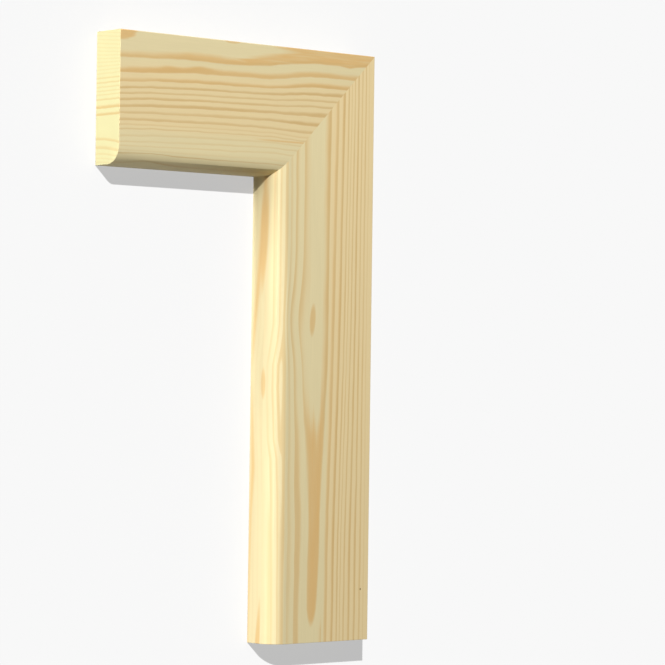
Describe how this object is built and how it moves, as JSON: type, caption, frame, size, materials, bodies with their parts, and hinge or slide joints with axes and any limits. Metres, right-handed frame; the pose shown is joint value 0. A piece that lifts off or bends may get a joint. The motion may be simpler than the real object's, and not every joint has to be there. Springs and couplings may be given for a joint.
{
  "type": "architrave corner moulding",
  "caption": "Mitred corner of a planed pine architrave: a leg and a head with a bullnosed opening edge and flat back, trimming the joint between a door lining and the wall.",
  "frame": {"origin": "middle of the bounding box in plan, on the plane of the flat back", "axes": "+Z out of the wall, from the back to the face; +Y up along the leg towards the mitre; +X along the head towards the mitre"},
  "size_m": [0.175, 0.319, 0.02],
  "materials": {
    "pine": "planed bare softwood, clear of knots"
  },
  "bodies": {
    "root": {"architrave_leg": "pine", "architrave_head": "pine"}
  },
  "joints": []
}
